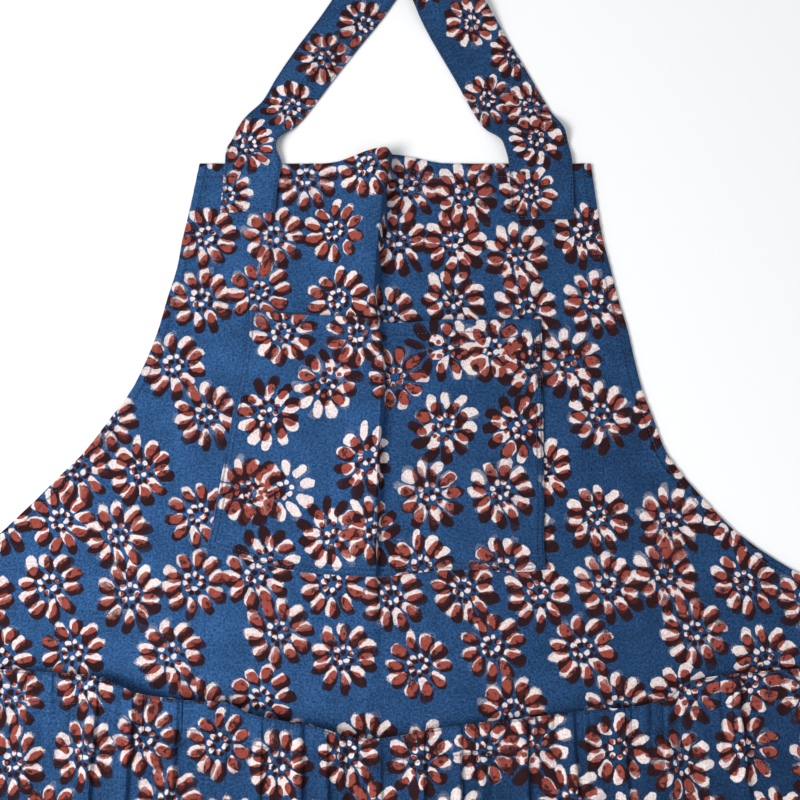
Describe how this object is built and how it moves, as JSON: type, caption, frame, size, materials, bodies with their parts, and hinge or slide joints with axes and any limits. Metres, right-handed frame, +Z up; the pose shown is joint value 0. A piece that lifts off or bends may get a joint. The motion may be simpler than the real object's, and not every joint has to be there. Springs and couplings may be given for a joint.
{
  "type": "gardening apron",
  "caption": "Cotton gardening apron with block-printed daisies, laid face up: looped neck strap, bib patch pocket, gathered pouch across the lower body and waist ties.",
  "frame": {"origin": "under the middle of the laid apron, on the surface it rests on", "axes": "+Y from the hem towards the bib and neck strap, +X to the right as seen from above, +Z up out of the cloth's front"},
  "size_m": [0.7388, 1.0856, 0.0251],
  "materials": {
    "printed_cotton": "matte"
  },
  "bodies": {
    "root": {"body_panel": "printed_cotton", "bib_pocket": "printed_cotton", "harvest_pouch": "printed_cotton", "neck_strap": "printed_cotton", "waist_tie_left": "printed_cotton", "waist_tie_right": "printed_cotton"}
  },
  "joints": []
}
